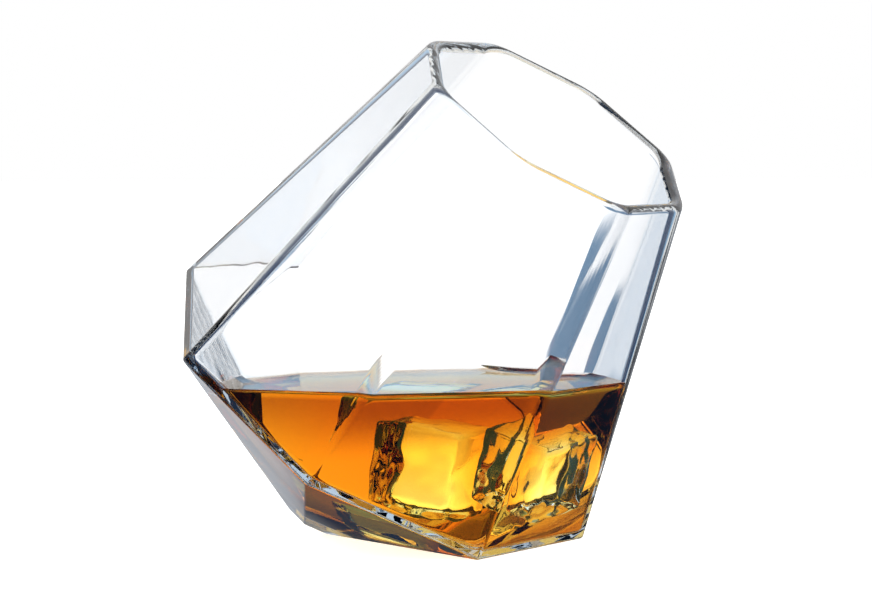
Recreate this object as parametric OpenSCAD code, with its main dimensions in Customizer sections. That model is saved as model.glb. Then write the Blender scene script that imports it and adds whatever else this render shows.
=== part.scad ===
// Eight-sided diamond whiskey tumbler, lying on one facet of its lower cone,
// with the whiskey and the two ice cubes that it holds.
// The glass has an upper part, the crown, that widens from the rim down to the
// girdle, and a lower part, the pavilion, that narrows to a small flat foot.
// The origin is the middle of the facet that the glass rests on. +Z is up, the
// table is at z = 0, and the glass leans toward +X.

/* [Glass] */
// Width of the glass across opposite corners of the girdle
girdle_w = 96; // [90:0.5:102]
// Width of the rim across opposite corners
rim_w = 59; // [54:0.5:64]
// Width of the foot across opposite corners
foot_w = 13; // [9:0.5:18]
// Height of the crown, from the girdle to the rim, along the glass's axis
crown_h = 69.5; // [62:0.5:76]
// Height of the pavilion, from the foot to the girdle, along the axis
pavilion_h = 29; // [26:0.5:33]
// Thickness of the walls at the rim; they get thinner toward the girdle
rim_wall = 2.8; // [2.2:0.1:3.4]
// Level thickness of the walls at the girdle
girdle_wall = 1.9; // [1.6:0.1:3]
// Height of the cavity's widest line above the girdle, along the axis
girdle_rise = 1; // [0.5:0.1:2]
// Thickness of the pavilion's walls beside the cavity's floor
floor_wall = 3.5; // [2.5:0.1:4]
// Thickness of the glass above the foot, along the axis
foot_wall = 7; // [5:0.5:9]

/* [Whiskey] */
// Height of the whiskey's surface above the table
fill_level = 31.4; // [30:0.1:36]

/* [Ice] */
// Side of the larger ice cube
large_ice_side = 19; // [15:0.5:20]
// Side of the smaller ice cube
small_ice_side = 17; // [12:0.5:17]
// Width of the melted flats along the cubes' edges, measured on one face
ice_chamfer = 1.4; // [0.5:0.1:3]

/* [Hidden] */
facets = 8;
facet_angle = 360 / facets;
// Level gap that keeps the liquid's solid off the glass and off the ice
liquid_gap = 0.15;
// Size of the blocks that cut the facets; larger than the whole glass
block = 400;
// How far the cavity's cutter stands out of the mouth
mouth_clear = 20;

// Distance from the axis to the flats of the girdle and of the foot
girdle_flat = girdle_w / 2 * cos(facet_angle / 2);
rim_flat = rim_w / 2 * cos(facet_angle / 2);
foot_flat = foot_w / 2 * cos(facet_angle / 2);
glass_h = crown_h + pavilion_h;
// Slope of the crown's facets, inward from the axis direction
crown_lean = atan((girdle_flat - rim_flat) / crown_h);
// Slope of the pavilion's facets, outward from the axis direction
pavilion_lean = atan((girdle_flat - foot_flat) / pavilion_h);
// The same for the cavity: the height and flat of its widest line, the flats of
// its floor and of its rim, and its two slopes
cavity_girdle_z = pavilion_h + girdle_rise;
cavity_girdle_flat = girdle_flat - girdle_wall;
cavity_floor_flat = foot_flat + foot_wall * tan(pavilion_lean)
    - floor_wall / cos(pavilion_lean);
cavity_rim_flat = rim_flat - rim_wall / cos(crown_lean);
cavity_crown_lean = atan((cavity_girdle_flat - cavity_rim_flat)
    / (glass_h - cavity_girdle_z));
cavity_pavilion_lean = atan((cavity_girdle_flat - cavity_floor_flat)
    / (cavity_girdle_z - foot_wall));
// The tilt that lays one pavilion facet flat on the table, and that facet's length
tilt = 90 - pavilion_lean;
rest_len = pavilion_h / sin(tilt);

// Where each ice cube lies: its centre, then its turn about Z and its tilts about
// its own X and Y
large_ice_at = [-4.8, 3.5, 17.6];
large_ice_turn = [11.5, 3, 11];
small_ice_at = [18.1, 6.4, 16.6];
small_ice_turn = [90, 21, -8];

// Lays an upright glass on the facet that faces +X
module laid_down() {
    translate([-rest_len / 2, 0, 0])
        rotate([0, tilt, 0])
            translate([-foot_flat, 0, 0])
                children();
}

// Everything inside one facet plane. The plane leans by the given angle and passes
// through the point that is at this distance from the axis and at this height.
module inside_facet(angle, distance, height, lean) {
    rotate([0, 0, angle])
        translate([distance, 0, height])
            rotate([0, lean, 0])
                translate([-block, -block / 2, -block / 2])
                    cube(block);
}

// An upright double cone between two heights, widest at the given height
module double_cone(widest_flat, widest_z, upper_lean, lower_lean, bottom, top) {
    intersection() {
        translate([-block / 2, -block / 2, bottom])
            cube([block, block, top - bottom]);
        intersection_for(k = [0 : facets - 1])
            inside_facet(k * facet_angle, widest_flat, widest_z, -upper_lean);
        intersection_for(k = [0 : facets - 1])
            inside_facet(k * facet_angle, widest_flat, widest_z, lower_lean);
    }
}

module outside() {
    laid_down()
        double_cone(girdle_flat, pavilion_h, crown_lean, pavilion_lean, 0, glass_h);
}

// The space inside the walls, or the same space with a level gap to them
module cavity(gap = 0) {
    laid_down()
        double_cone(cavity_girdle_flat - gap, cavity_girdle_z, cavity_crown_lean,
                    cavity_pavilion_lean, foot_wall + gap, glass_h + mouth_clear);
}

module set_ice(at, turn) {
    translate(at)
        rotate([0, 0, turn[0]])
            rotate([turn[1], 0, 0])
                rotate([0, turn[2], 0])
                    children();
}

// A cube whose twelve edges are cut by flats at 45 degrees
module ice_cube(side) {
    flat_to_flat = (side - ice_chamfer) * sqrt(2);
    intersection() {
        cube(side, center = true);
        rotate([0, 0, 45])
            cube([flat_to_flat, flat_to_flat, 2 * side], center = true);
        rotate([0, 45, 0])
            cube([flat_to_flat, 2 * side, flat_to_flat], center = true);
        rotate([45, 0, 0])
            cube([2 * side, flat_to_flat, flat_to_flat], center = true);
    }
}

module glass() {
    color([0.86, 0.92, 0.97, 0.35])
        difference() {
            outside();
            cavity();
        }
}

module whiskey() {
    color([0.85, 0.42, 0.06, 0.85])
        difference() {
            intersection() {
                cavity(liquid_gap);
                translate([-block / 2, -block / 2, fill_level - block])
                    cube(block);
            }
            set_ice(large_ice_at, large_ice_turn)
                cube(large_ice_side + 2 * liquid_gap, center = true);
            set_ice(small_ice_at, small_ice_turn)
                cube(small_ice_side + 2 * liquid_gap, center = true);
        }
}

module ice_large() {
    color([0.97, 0.94, 0.78, 0.6])
        set_ice(large_ice_at, large_ice_turn)
            ice_cube(large_ice_side);
}

module ice_small() {
    color([0.97, 0.94, 0.78, 0.6])
        set_ice(small_ice_at, small_ice_turn)
            ice_cube(small_ice_side);
}

glass();
whiskey();
ice_large();
ice_small();
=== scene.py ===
# The looks of an eight-sided diamond whiskey tumbler that lies on one facet of its
# lower cone, with whiskey and two ice cubes in it.
# The glass is lofted in its own upright frame, in millimetres, with its axis along Z
# and its foot at z = 0, and then laid down as in the CAD.
import math

import bmesh
import bpy
from mathutils import Matrix, Vector, noise


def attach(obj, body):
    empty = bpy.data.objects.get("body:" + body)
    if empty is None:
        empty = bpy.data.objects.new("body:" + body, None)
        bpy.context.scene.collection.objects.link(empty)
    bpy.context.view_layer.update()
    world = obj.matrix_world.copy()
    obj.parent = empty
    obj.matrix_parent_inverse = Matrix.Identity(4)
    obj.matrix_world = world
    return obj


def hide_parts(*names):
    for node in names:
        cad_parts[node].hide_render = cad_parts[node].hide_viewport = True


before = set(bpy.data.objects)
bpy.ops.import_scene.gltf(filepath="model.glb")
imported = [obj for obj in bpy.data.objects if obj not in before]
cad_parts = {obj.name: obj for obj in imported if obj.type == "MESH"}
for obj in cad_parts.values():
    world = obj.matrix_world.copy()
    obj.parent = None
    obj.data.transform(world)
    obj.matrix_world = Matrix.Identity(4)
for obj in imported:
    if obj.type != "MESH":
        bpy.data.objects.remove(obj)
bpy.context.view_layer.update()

MM = 0.001

# ---- Driving dimensions, in millimetres, as in the CAD ----
GIRDLE_WIDTH = 96.0        # across corners
RIM_WIDTH = 59.0
FOOT_WIDTH = 13.0
CROWN_HEIGHT = 69.5
PAVILION_HEIGHT = 29.0
RIM_WALL = 2.8             # square to the crown's facets
GIRDLE_WALL = 1.9          # level, at the girdle
GIRDLE_RISE = 1.0          # of the cavity's widest line above the girdle
FLOOR_WALL = 3.5           # square to the pavilion's facets, at the cavity's floor
FOOT_WALL = 7.0            # along the axis
FILL_LEVEL = 31.4          # above the table
LARGE_ICE = {"side": 19.0, "at": (-4.8, 3.5, 17.6), "turn": (11.5, 3.0, 11.0)}
SMALL_ICE = {"side": 17.0, "at": (18.1, 6.4, 16.6), "turn": (90.0, 21.0, -8.0)}

# ---- Roundings of the pressed glass, in millimetres ----
OUTER_CORNER = (0.9, 9.0)  # at the girdle and below, and at the rim that a flame has melted
INNER_CORNER = (2.2, 10.0)
WIDEST_CORNER = 0.6        # of the distance from the axis to the flats
FOOT_EDGE = 1.0
GIRDLE_EDGE = 0.8
LIP_EDGE = 1.35
INNER_GIRDLE_EDGE = 1.2
INNER_FLOOR_EDGE = 2.5
FACETS = 8
HALF_FACET = math.pi / FACETS
CORNER_STEPS = 8
FLAT_STEPS = 4
ARC_STEPS = 7

# ---- Liquid, in millimetres ----
WALL_GAP = 0.06            # between the liquid's mesh and the glass
MENISCUS_HEIGHT = 1.1
MENISCUS_LENGTH = 1.3
# How far in from the wall the rows of points on the free surface lie
SURFACE_INSETS = (0.12, 0.3, 0.55, 0.85, 1.2, 1.7, 2.3, 3.1, 4.2, 5.6, 8.0)
CONTACT = (FILL_LEVEL + MENISCUS_HEIGHT) * MM    # metres; where the surface meets the wall

# ---- Melted ice, in millimetres ----
ICE_CUTS = 27              # of each edge of a cube
LARGE_ROUNDING = 1.8
SMALL_ROUNDING = 1.7
LARGE_SEED = 3.0
SMALL_SEED = 11.0
LUMPS = (0.16, 0.8)        # how many to a millimetre, and their height
DIMPLES = (0.45, 0.2)
MELTED_AWAY = 0.45

# ---- Materials ----
GLASS_IOR = 1.5
WHISKEY_IOR = 1.36
ICE_IOR = 1.15
GLASS_TINT = (0.35, 0.62, 0.9, 1)
GLASS_DENSITY = 9.0
RIPPLE_LENGTH = 0.016      # metres
RIPPLE_HEIGHT = 0.00012    # metres
WHISKEY_TINT = (0.984, 0.772, 0.05, 1)
WHISKEY_DENSITY = 100.0
# Painted shade: the colour that darkens the liquid's side walls toward the surface
PAINTED_SHADE_TONE = (0.63, 0.51, 0.42, 1)
PAINTED_SHADE_HEIGHTS = (19.0, 30.0)   # the heights between which the painted shade on the walls darkens
FILM = (FILL_LEVEL - 0.6, FILL_LEVEL + 0.2)      # where the liquid becomes a thin film
MELT_GAIN = (1.65, 1.65, 1.4)    # the melt water near a cube has little colour too
LONGEST_CHORD = 0.03       # metres, through a cube

# ---- Stage ----
CAMERA_AT = (0.33584, -0.47315, 0.07681)
CAMERA_LENS = 121.6
SENSOR_WIDTH = 36.0
NEAREST_SEEN = 0.01
VIEW_YAW = math.radians(35.21)
VIEW_PITCH = math.radians(-2.87)
VIEW_ROLL = math.radians(-0.57)
BACKDROP = (-math.sin(VIEW_YAW), math.cos(VIEW_YAW), 0)   # level, away from the camera
RIGHT = (math.cos(VIEW_YAW), math.sin(VIEW_YAW), 0)
FLOOR_HALF = 6.0
FLOOR_COLOUR = (0.9, 0.9, 0.9, 1)
FLOOR_GLOW = 0.7
WHITE = (1, 1, 1, 1)
DULL_SIDES = (0.94, 0.965, 0.985, 1)
FLOOR_SHEEN = (0.72, 0.76, 0.82, 1)
CARD = (0.16, 0.25, 0.36, 1)
CARD_ACROSS = (0.07, 0.09, 0.24, 0.28)   # where the card starts and ends to the right
CARD_BEHIND = (0.10, 0.14, 0.46, 0.62)   # the same, away from the camera
SOFTBOX = (1.7, 1.7, 1.65, 1)
DIM_BACKDROP = (0.27, 0.43, 0.60, 1)
DIM_ROOM = (0.03, 0.055, 0.11, 1)
DARK_ROOM = (0.02, 0.03, 0.045, 1)
FLECKS = (0.86, 0.81, 0.74, 1)
SURFACE_GAIN = 0.08        # makes up for the light that a glass surface reflects away
MOST_SURFACES = 4.0        # that it is added for
# The parts ahead, or upward, of a ray's unit direction between which a tone becomes the next
WHITE_AHEAD = (0.85, 0.985)
DIM_AHEAD = (0.80, 0.96)
SKY_SHEEN_AHEAD = (-0.2, 0.3)
FLOOR_SHEEN_AHEAD = (0.2, 0.85)
SOFTBOX_HEIGHT = (0.25, 0.45)
MOST_BOUNCES = 32
MOST_REFLECTIONS = 16


# ---- Derived sizes ----
def flat(width):
    """Distance from the axis to the flats of an octagon with this width across corners."""
    return width / 2 * math.cos(HALF_FACET)


GIRDLE_FLAT = flat(GIRDLE_WIDTH)
RIM_FLAT = flat(RIM_WIDTH)
FOOT_FLAT = flat(FOOT_WIDTH)
CROWN_LEAN = math.atan((GIRDLE_FLAT - RIM_FLAT) / CROWN_HEIGHT)
PAVILION_LEAN = math.atan((GIRDLE_FLAT - FOOT_FLAT) / PAVILION_HEIGHT)
GLASS_HEIGHT = CROWN_HEIGHT + PAVILION_HEIGHT
TILT = math.pi / 2 - PAVILION_LEAN
REST_LENGTH = PAVILION_HEIGHT / math.sin(TILT)
LAID_DOWN = (Matrix.Translation((-REST_LENGTH / 2, 0, 0))
             @ Matrix.Rotation(TILT, 4, "Y")
             @ Matrix.Translation((-FOOT_FLAT, 0, 0)))


# ---- Meridian profiles ----
def filleted(points, radii):
    """Walks a polyline of (distance from axis, height) and rounds its inner points.
    Gives the place and the unit tangent at each step."""
    steps = []
    points = [Vector(p) for p in points]
    first = (points[1] - points[0]).normalized()
    steps.append((points[0], first))
    for before, corner, after, radius in zip(points, points[1:], points[2:], radii):
        arrive = (corner - before).normalized()
        leave = (after - corner).normalized()
        turn = arrive.angle_signed(leave)
        reach = radius * math.tan(abs(turn) / 2)
        side = 1 if turn > 0 else -1
        normal = Vector((arrive.y, -arrive.x)) * side
        start = corner - arrive * reach
        centre = start + normal * radius
        for i in range(ARC_STEPS + 1):
            angle = -turn * i / ARC_STEPS
            spoke = Matrix.Rotation(angle, 2) @ (start - centre)
            tangent = Matrix.Rotation(angle, 2) @ arrive
            steps.append((centre + spoke, tangent))
    last = (points[-1] - points[-2]).normalized()
    steps.append((points[-1], last))
    return steps


def inner_points():
    """The corners of the cavity's profile, from the middle of its floor to the rim."""
    floor_flat = FOOT_FLAT + FOOT_WALL * math.tan(PAVILION_LEAN) - FLOOR_WALL / math.cos(PAVILION_LEAN)
    return [
        (0, FOOT_WALL),
        (floor_flat, FOOT_WALL),
        (GIRDLE_FLAT - GIRDLE_WALL, PAVILION_HEIGHT + GIRDLE_RISE),
        (RIM_FLAT - RIM_WALL / math.cos(CROWN_LEAN), GLASS_HEIGHT),
    ]


def glass_profile():
    """The whole wall, from the middle of the foot, over the lip, to the middle of the floor."""
    outside = [
        (0, 0),
        (FOOT_FLAT, 0),
        (GIRDLE_FLAT, PAVILION_HEIGHT),
        (RIM_FLAT, GLASS_HEIGHT),
    ]
    radii = [FOOT_EDGE, GIRDLE_EDGE, LIP_EDGE, LIP_EDGE, INNER_GIRDLE_EDGE, INNER_FLOOR_EDGE]
    return filleted(outside + inner_points()[::-1], radii)


def grown(points, distance):
    """The polyline moved outward, away from the axis, by this distance."""
    points = [Vector(p) for p in points]
    sides = []
    for start, end in zip(points, points[1:]):
        along = (end - start).normalized()
        outward = Vector((along.y, -along.x))
        sides.append((start + outward * distance, along))
    moved = [sides[0][0]]
    for (start, along), (other, slope) in zip(sides, sides[1:]):
        gap = other - start
        t = gap.cross(slope) / along.cross(slope)
        moved.append(start + along * t)
    moved.append(sides[-1][0] + points[-1] - points[-2])
    return moved


def liquid_profile():
    """The inside of the glass, from the middle of its floor up, with a gap to the wall."""
    radii = [INNER_FLOOR_EDGE - WALL_GAP, INNER_GIRDLE_EDGE - WALL_GAP]
    return filleted(grown(inner_points(), -WALL_GAP), radii)


# ---- Lofting ----
def ring(step, corner_radii):
    """One octagon with round corners: its points and the surface's normals there."""
    place, tangent = step
    low, high = corner_radii
    upward = max(0, (place.y - PAVILION_HEIGHT) / CROWN_HEIGHT)
    corner = min(low + (high - low) * upward, WIDEST_CORNER * place.x)
    reach = (place.x - corner) / math.cos(HALF_FACET)
    arcs = []
    for k in range(FACETS):
        middle = (k + 0.5) * 2 * HALF_FACET
        arc = []
        for i in range(CORNER_STEPS + 1):
            delta = HALF_FACET * (2 * i / CORNER_STEPS - 1)
            angle = middle + delta
            point = Vector((reach * math.cos(middle) + corner * math.cos(angle),
                            reach * math.sin(middle) + corner * math.sin(angle),
                            place.y))
            slope = -tangent.x * math.cos(delta) / math.cos(HALF_FACET)
            normal = Vector((tangent.y * math.cos(angle), tangent.y * math.sin(angle), slope))
            arc.append((point, normal.normalized()))
        arcs.append(arc)
    whole = []
    for k, arc in enumerate(arcs):
        whole += arc
        start, normal = arc[-1]
        end = arcs[(k + 1) % FACETS][0][0]
        for i in range(1, FLAT_STEPS):
            whole.append((start.lerp(end, i / FLAT_STEPS), normal))
    return whole


def loft(rings, closed_end=True, inside_from=0):
    """A bmesh through the rings, laid down, in metres. The layer "shade" holds normals,
    and "inside" is 1 on the faces from one ring on."""
    mesh = bmesh.new()
    shade = mesh.verts.layers.float_vector.new("shade")
    inside = mesh.faces.layers.int.new("inside")
    turn = LAID_DOWN.to_3x3()
    rows = []
    for points in rings:
        row = []
        for point, normal in points:
            vert = mesh.verts.new((LAID_DOWN @ point) * MM)
            vert[shade] = turn @ normal
            row.append(vert)
        rows.append(row)
    for level, (low, high) in enumerate(zip(rows, rows[1:])):
        count = len(low)
        for i in range(count):
            j = (i + 1) % count
            face = mesh.faces.new((low[i], low[j], high[j], high[i]))
            face[inside] = int(level >= inside_from)
    mesh.faces.new(list(reversed(rows[0])))
    if closed_end:
        mesh.faces.new(rows[-1])[inside] = 1
    return mesh


def unpack(mesh):
    """The points, their normals and the faces of a lofted mesh."""
    shade = mesh.verts.layers.float_vector["shade"]
    mesh.verts.index_update()
    verts = [v.co.copy() for v in mesh.verts]
    normals = [Vector(v[shade]).normalized() for v in mesh.verts]
    faces = [[v.index for v in f.verts] for f in mesh.faces]
    return verts, normals, faces


def add_object(name, mesh):
    piece = bpy.data.objects.new(name, mesh)
    bpy.context.scene.collection.objects.link(piece)
    return piece


def piece_from(name, verts, faces, corner_normals, wet):
    """A mesh object with its own normal at each corner of each face, and the
    attribute "wet", which is 1 on the faces where liquid and glass meet."""
    mesh = bpy.data.meshes.new(name)
    mesh.from_pydata(verts, [], faces)
    mesh.attributes.new("wet", "FLOAT", "FACE").data.foreach_set("value", wet)
    mesh.polygons.foreach_set("use_smooth", [True] * len(faces))
    mesh.normals_split_custom_set(corner_normals)
    mesh.validate()
    return add_object(name, mesh)


# ---- The glass ----
def make_glass():
    # The profile's two ends are on the axis: the flat ends of the loft close there
    steps = glass_profile()[1:-1]
    # The foot, girdle and both lip roundings come before the inside
    inside_from = 4 * (ARC_STEPS + 1) - 1
    rings = []
    for i, step in enumerate(steps):
        rings.append(ring(step, INNER_CORNER if i > inside_from else OUTER_CORNER))
    mesh = loft(rings, inside_from=inside_from)
    inside = mesh.faces.layers.int["inside"]
    inner = [f for f in mesh.faces if f[inside]]
    parts = set(inner)
    for face in inner:
        parts.update(face.edges)
        parts.update(face.verts)
    bmesh.ops.bisect_plane(mesh, geom=list(parts), plane_co=(0, 0, CONTACT), plane_no=(0, 0, 1))
    wet = [float(f[inside] == 1 and f.calc_center_median().z < CONTACT) for f in mesh.faces]
    verts, normals, faces = unpack(mesh)
    mesh.free()
    corner_normals = [normals[v] for f in faces for v in f]
    return piece_from("tumbler", verts, faces, corner_normals, wet)


# ---- The whiskey ----
def boundary_loop(mesh):
    """The vertices along the open edge of a mesh, in order."""
    edges = [e for e in mesh.edges if len(e.link_faces) == 1]
    start = edges[0].verts[0]
    loop = [start]
    used = set()
    while True:
        here = loop[-1]
        step = None
        for edge in here.link_edges:
            if len(edge.link_faces) == 1 and edge not in used:
                step = edge
                break
        if step is None:
            break
        used.add(step)
        there = step.other_vert(here)
        if there is start:
            break
        loop.append(there)
    return loop


def surface_point(at_wall, middle, inset):
    """A point of the free surface, this far in from the wall, and its normal."""
    spoke = at_wall - middle
    spoke.z = 0
    outward = spoke.normalized()
    rise = MENISCUS_HEIGHT * math.exp(-inset / MENISCUS_LENGTH)
    slope = rise / MENISCUS_LENGTH
    point = middle + outward * (spoke.length - inset * MM)
    point.z = (FILL_LEVEL + rise) * MM
    return point, Vector((-slope * outward.x, -slope * outward.y, 1)).normalized()


def make_whiskey():
    """The liquid: its wall, cut level, then rows of points that follow the meniscus in."""
    mesh = loft([ring(step, INNER_CORNER) for step in liquid_profile()[1:]], closed_end=False)
    everything = mesh.verts[:] + mesh.edges[:] + mesh.faces[:]
    bmesh.ops.bisect_plane(mesh, geom=everything, plane_co=(0, 0, CONTACT),
                           plane_no=(0, 0, 1), clear_outer=True)
    loop = boundary_loop(mesh)
    verts, normals, faces = unpack(mesh)
    corner_normals = [normals[v] for f in faces for v in f]
    wall_faces = len(faces)
    rim = [v.index for v in loop]
    mesh.free()
    middle = sum((verts[i] for i in rim), Vector()) / len(rim)
    area = sum(verts[a].x * verts[b].y - verts[b].x * verts[a].y
               for a, b in zip(rim, rim[1:] + rim[:1]))
    if area < 0:
        rim.reverse()

    rows = [rim]
    row_normals = [[surface_point(verts[i], middle, 0.0)[1] for i in rim]]
    for inset in SURFACE_INSETS:
        row = []
        line = []
        for i in rim:
            point, normal = surface_point(verts[i], middle, inset)
            row.append(len(verts))
            verts.append(point)
            line.append(normal)
        rows.append(row)
        row_normals.append(line)
    count = len(rim)
    for (low, high), (low_n, high_n) in zip(zip(rows, rows[1:]), zip(row_normals, row_normals[1:])):
        for i in range(count):
            j = (i + 1) % count
            faces.append([low[i], low[j], high[j], high[i]])
            corner_normals += [low_n[i], low_n[j], high_n[j], high_n[i]]
    faces.append(rows[-1])
    corner_normals += [Vector((0, 0, 1))] * count
    wet = [1.0] * wall_faces + [0.0] * (len(faces) - wall_faces)
    return piece_from("whiskey_pour", verts, faces, corner_normals, wet)


# ---- The ice ----
def make_ice(name, ice, rounding, seed):
    """A cube with round edges and with faces that have melted unevenly."""
    half = ice["side"] / 2
    core = half - rounding
    lumps, lump_height = LUMPS
    dimples, dimple_height = DIMPLES
    mesh = bmesh.new()
    bmesh.ops.create_cube(mesh, size=2.0)
    bmesh.ops.subdivide_edges(mesh, edges=mesh.edges[:], cuts=ICE_CUTS, use_grid_fill=True)
    for vert in mesh.verts:
        spread = Vector([math.sin(c * math.pi / 2) for c in vert.co]) * half
        inner = Vector([max(-core, min(core, c)) for c in spread])
        normal = (spread - inner).normalized()
        lump = noise.noise(spread * lumps + Vector((seed, 0, 0))) * lump_height
        dimple = noise.noise(spread * dimples + Vector((0, seed, 0))) * dimple_height
        vert.co = inner + normal * (rounding + lump + dimple - MELTED_AWAY)
    bmesh.ops.recalc_face_normals(mesh, faces=mesh.faces[:])
    z_turn, x_turn, y_turn = [math.radians(a) for a in ice["turn"]]
    place = (Matrix.Translation(Vector(ice["at"])) @ Matrix.Rotation(z_turn, 4, "Z")
             @ Matrix.Rotation(x_turn, 4, "X") @ Matrix.Rotation(y_turn, 4, "Y"))
    mesh.transform(Matrix.Scale(MM, 4) @ place)
    data = bpy.data.meshes.new(name)
    mesh.to_mesh(data)
    mesh.free()
    data.polygons.foreach_set("use_smooth", [True] * len(data.polygons))
    return add_object(name, data)


# ---- Nodes ----
def new_material(name):
    material = bpy.data.materials.new(name)
    material.use_nodes = True
    tree = material.node_tree
    tree.nodes.clear()
    output = tree.nodes.new("ShaderNodeOutputMaterial")
    return material, tree, output


def math_node(tree, operation, first, second=None):
    node = tree.nodes.new("ShaderNodeMath")
    node.operation = operation
    for socket, value in zip(node.inputs, (first, second)):
        if value is None:
            continue
        if isinstance(value, (int, float)):
            socket.default_value = value
        else:
            tree.links.new(value, socket)
    return node.outputs[0]


def mixed_colour(tree, factor, first, second):
    node = tree.nodes.new("ShaderNodeMix")
    node.data_type = "RGBA"
    for name, value in (("Factor", factor), ("A", first), ("B", second)):
        if isinstance(value, tuple):
            node.inputs[name].default_value = value
        else:
            tree.links.new(value, node.inputs[name])
    return node.outputs["Result"]


def mixed_shader(tree, factor, first, second):
    node = tree.nodes.new("ShaderNodeMixShader")
    for socket, value in zip(node.inputs, (factor, first, second)):
        tree.links.new(value, socket)
    return node.outputs[0]


def ramp_between(tree, value, low, high):
    """A smooth rise from 0 where the value is low to 1 where it is high."""
    node = tree.nodes.new("ShaderNodeMapRange")
    node.interpolation_type = "SMOOTHSTEP"
    tree.links.new(value, node.inputs["Value"])
    node.inputs["From Min"].default_value = low
    node.inputs["From Max"].default_value = high
    return node.outputs["Result"]


def between(tree, value, edges):
    """1 where the value lies between the middle two of four edges, and 0 past the others."""
    start, full, fading, end = edges
    return math_node(tree, "MULTIPLY", ramp_between(tree, value, start, full),
                     ramp_between(tree, value, end, fading))


def distance_along(tree, place, axis):
    dot = tree.nodes.new("ShaderNodeVectorMath")
    dot.operation = "DOT_PRODUCT"
    tree.links.new(place, dot.inputs[0])
    dot.inputs[1].default_value = axis
    return dot.outputs["Value"]


def height_of(tree, vector):
    split = tree.nodes.new("ShaderNodeSeparateXYZ")
    tree.links.new(vector, split.inputs[0])
    return split.outputs["Z"]


def smooth_glass(tree, ior, normal=None, colour=None):
    node = tree.nodes.new("ShaderNodeBsdfGlass")
    node.inputs["IOR"].default_value = ior
    node.inputs["Roughness"].default_value = 0.0
    if normal:
        tree.links.new(normal, node.inputs["Normal"])
    if colour:
        tree.links.new(colour, node.inputs["Color"])
    return node.outputs[0]


def absorbing(tree, tint, density):
    node = tree.nodes.new("ShaderNodeVolumeAbsorption")
    node.inputs["Color"].default_value = tint
    node.inputs["Density"].default_value = density
    return node.outputs[0]


def mixed_by_wet(tree, dry, wet):
    mask = tree.nodes.new("ShaderNodeAttribute")
    mask.attribute_name = "wet"
    return mixed_shader(tree, mask.outputs["Fac"], dry, wet)


# ---- Materials ----
def ripples(tree):
    """The faint unevenness of pressed glass."""
    coords = tree.nodes.new("ShaderNodeTexCoord")
    texture = tree.nodes.new("ShaderNodeTexNoise")
    texture.inputs["Scale"].default_value = 1 / RIPPLE_LENGTH
    texture.inputs["Detail"].default_value = 1.0
    tree.links.new(coords.outputs["Object"], texture.inputs["Vector"])
    bump = tree.nodes.new("ShaderNodeBump")
    bump.inputs["Distance"].default_value = RIPPLE_HEIGHT
    tree.links.new(texture.outputs["Fac"], bump.inputs["Height"])
    return bump.outputs[0]


def glass_material():
    """Glass to air, and glass to liquid where the wall is wet."""
    material, tree, output = new_material("clear_glass")
    uneven = ripples(tree)
    surface = mixed_by_wet(tree, smooth_glass(tree, GLASS_IOR, uneven),
                           smooth_glass(tree, GLASS_IOR / WHISKEY_IOR, uneven))
    tree.links.new(surface, output.inputs["Surface"])
    tree.links.new(absorbing(tree, GLASS_TINT, GLASS_DENSITY), output.inputs["Volume"])
    return material


def painted_wall_shade(tree):
    """Painted shade on the liquid's side walls: their colour is darkened toward the surface, though
    the whiskey is the same all through, but not in the thin film that climbs the glass."""
    geometry = tree.nodes.new("ShaderNodeNewGeometry")
    height = height_of(tree, geometry.outputs["Position"])
    # painted shade, darker toward the surface
    painted_shade_amount = ramp_between(tree, height, *[edge * MM for edge in PAINTED_SHADE_HEIGHTS])
    in_film = ramp_between(tree, height, *[edge * MM for edge in FILM])
    colour = mixed_colour(tree, painted_shade_amount, WHITE, PAINTED_SHADE_TONE)
    return mixed_colour(tree, in_film, colour, WHITE)


def whiskey_material():
    """The free surface bends light. The wall doesn't: the glass's wet face does it."""
    material, tree, output = new_material("whiskey_amber")
    # the wall's colour carries painted shade, darker toward the surface
    wall = smooth_glass(tree, 1.0, colour=painted_wall_shade(tree))
    surface = mixed_by_wet(tree, smooth_glass(tree, WHISKEY_IOR), wall)
    tree.links.new(surface, output.inputs["Surface"])
    tree.links.new(absorbing(tree, WHISKEY_TINT, WHISKEY_DENSITY), output.inputs["Volume"])
    return material


def ice_material():
    """Clear ice. Inside the whiskey its own volume doesn't absorb, so the light that
    the liquid's volume takes on the way through the cube is given back as it leaves."""
    material, tree, output = new_material("clear_ice")
    path = tree.nodes.new("ShaderNodeLightPath")
    geometry = tree.nodes.new("ShaderNodeNewGeometry")
    below = math_node(tree, "LESS_THAN", height_of(tree, geometry.outputs["Position"]), CONTACT)
    leaving = math_node(tree, "MULTIPLY", below, geometry.outputs["Backfacing"])
    length = math_node(tree, "MINIMUM", path.outputs["Ray Length"], LONGEST_CHORD)
    length = math_node(tree, "MULTIPLY", length, leaving)
    given_back = tree.nodes.new("ShaderNodeCombineColor")
    for channel, tint, gain in zip(("Red", "Green", "Blue"), WHISKEY_TINT, MELT_GAIN):
        strength = math_node(tree, "MULTIPLY", length, gain * WHISKEY_DENSITY * (1 - tint))
        tree.links.new(math_node(tree, "EXPONENT", strength), given_back.inputs[channel])
    surface = smooth_glass(tree, ICE_IOR, colour=given_back.outputs[0])
    tree.links.new(surface, output.inputs["Surface"])
    return material


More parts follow.
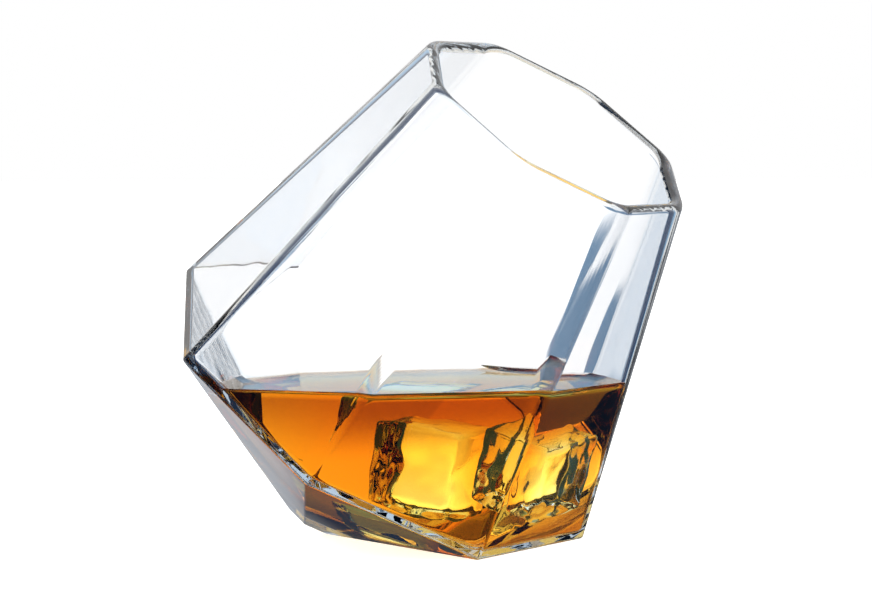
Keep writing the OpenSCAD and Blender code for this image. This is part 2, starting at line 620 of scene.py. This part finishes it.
# ---- Stage ----
def studio_light(tree, direction, sheen_colour, sheen_ahead):
    """What a ray from the glass meets: a white backdrop with slightly duller sides and a
    softbox overhead. A ray that the glass has mirrored inside meets a darker room, and
    one that the outside has mirrored meets the sheen colour ahead. Gives the light's
    colour and strength, and the light path."""
    unit = tree.nodes.new("ShaderNodeVectorMath")
    unit.operation = "NORMALIZE"
    tree.links.new(direction, unit.inputs[0])
    ahead = distance_along(tree, unit.outputs[0], BACKDROP)
    overhead = ramp_between(tree, height_of(tree, unit.outputs[0]), *SOFTBOX_HEIGHT)
    facing = ramp_between(tree, ahead, *DIM_AHEAD)

    path = tree.nodes.new("ShaderNodeLightPath")
    entered = math_node(tree, "GREATER_THAN", path.outputs["Transmission Depth"], 0.5)
    mirrored = math_node(tree, "GREATER_THAN", path.outputs["Glossy Depth"], 0.5)
    again = math_node(tree, "GREATER_THAN", path.outputs["Glossy Depth"], 1.5)

    level = mixed_colour(tree, ramp_between(tree, ahead, *WHITE_AHEAD), DULL_SIDES, WHITE)
    straight = mixed_colour(tree, overhead, level, SOFTBOX)
    sheen = mixed_colour(tree, ramp_between(tree, ahead, *sheen_ahead), DIM_ROOM, sheen_colour)
    once = mixed_colour(tree, facing, DIM_ROOM, DIM_BACKDROP)
    often = mixed_colour(tree, math_node(tree, "MAXIMUM", facing, overhead), DARK_ROOM, FLECKS)
    inside = mixed_colour(tree, again, once, often)
    turned = mixed_colour(tree, entered, sheen, inside)
    colour = mixed_colour(tree, mirrored, straight, turned)
    surfaces = math_node(tree, "MINIMUM", path.outputs["Transmission Depth"], MOST_SURFACES)
    gain = math_node(tree, "MULTIPLY", surfaces, SURFACE_GAIN)
    strength = math_node(tree, "ADD", gain, 1.0)
    return colour, strength, path


def on_card(tree, place, path):
    """1 on a dark card that lies behind on the right. Only rays through the glass that
    nothing has mirrored meet it, and it draws the glass's right-hand edges."""
    across = between(tree, distance_along(tree, place, RIGHT), CARD_ACROSS)
    behind = between(tree, distance_along(tree, place, BACKDROP), CARD_BEHIND)
    unmirrored = math_node(tree, "LESS_THAN", path.outputs["Glossy Depth"], 0.5)
    return math_node(tree, "MULTIPLY", math_node(tree, "MULTIPLY", across, behind), unmirrored)


def floor_material():
    """Plain and pale for the camera, and the lit studio for the rays from the glass."""
    material, tree, output = new_material("pale_floor")
    geometry = tree.nodes.new("ShaderNodeNewGeometry")
    place = geometry.outputs["Position"]
    colour, strength, path = studio_light(tree, place, FLOOR_SHEEN, FLOOR_SHEEN_AHEAD)
    lit = tree.nodes.new("ShaderNodeEmission")
    tree.links.new(mixed_colour(tree, on_card(tree, place, path), colour, CARD), lit.inputs["Color"])
    tree.links.new(strength, lit.inputs["Strength"])
    diffuse = tree.nodes.new("ShaderNodeBsdfDiffuse")
    diffuse.inputs["Color"].default_value = FLOOR_COLOUR
    glow = tree.nodes.new("ShaderNodeEmission")
    glow.inputs["Strength"].default_value = FLOOR_GLOW
    plain = tree.nodes.new("ShaderNodeAddShader")
    tree.links.new(diffuse.outputs[0], plain.inputs[0])
    tree.links.new(glow.outputs[0], plain.inputs[1])
    surface = mixed_shader(tree, path.outputs["Is Camera Ray"], lit.outputs[0], plain.outputs[0])
    tree.links.new(surface, output.inputs["Surface"])
    return material


def make_floor():
    mesh = bpy.data.meshes.new("floor")
    corners = [(x * FLOOR_HALF, y * FLOOR_HALF, 0) for x, y in ((-1, -1), (1, -1), (1, 1), (-1, 1))]
    mesh.from_pydata(corners, [], [(0, 1, 2, 3)])
    mesh.materials.append(floor_material())
    add_object("floor", mesh)


def make_world():
    """White for the camera, and the lit studio for the rays from the glass."""
    world = bpy.data.worlds.new("studio")
    bpy.context.scene.world = world
    world.use_nodes = True
    tree = world.node_tree
    tree.nodes.clear()
    output = tree.nodes.new("ShaderNodeOutputWorld")
    coords = tree.nodes.new("ShaderNodeTexCoord")
    colour, strength, path = studio_light(tree, coords.outputs["Generated"], WHITE, SKY_SHEEN_AHEAD)
    studio = tree.nodes.new("ShaderNodeBackground")
    tree.links.new(colour, studio.inputs["Color"])
    tree.links.new(strength, studio.inputs["Strength"])
    plain = tree.nodes.new("ShaderNodeBackground")
    plain.inputs["Color"].default_value = WHITE
    surface = mixed_shader(tree, path.outputs["Is Camera Ray"], studio.outputs[0], plain.outputs[0])
    tree.links.new(surface, output.inputs["Surface"])


def add_camera():
    data = bpy.data.cameras.new("camera")
    data.sensor_width = SENSOR_WIDTH
    data.lens = CAMERA_LENS
    data.clip_start = NEAREST_SEEN
    camera = bpy.data.objects.new("camera", data)
    camera.matrix_world = (Matrix.Translation(CAMERA_AT)
                           @ Matrix.Rotation(VIEW_YAW, 4, "Z")
                           @ Matrix.Rotation(math.pi / 2 + VIEW_PITCH, 4, "X")
                           @ Matrix.Rotation(VIEW_ROLL, 4, "Z"))
    bpy.context.scene.collection.objects.link(camera)
    bpy.context.scene.camera = camera


def set_looks():
    """Plain colours, and enough bounces for light to find its way through the glass."""
    scene = bpy.context.scene
    scene.view_settings.view_transform = "Standard"
    scene.cycles.max_bounces = MOST_BOUNCES
    scene.cycles.transmission_bounces = MOST_BOUNCES
    scene.cycles.glossy_bounces = MOST_REFLECTIONS


def place_piece(piece, material, body, node):
    piece.data.materials.append(material)
    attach(piece, body)
    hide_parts(node)


def main():
    add_camera()
    make_world()
    make_floor()
    set_looks()
    place_piece(make_glass(), glass_material(), "glass", "glass")
    place_piece(make_whiskey(), whiskey_material(), "glass", "whiskey")
    ice = ice_material()
    large = make_ice("large_ice_cube", LARGE_ICE, LARGE_ROUNDING, LARGE_SEED)
    small = make_ice("small_ice_cube", SMALL_ICE, SMALL_ROUNDING, SMALL_SEED)
    place_piece(large, ice, "ice_large", "ice_large")
    place_piece(small, ice, "ice_small", "ice_small")


main()
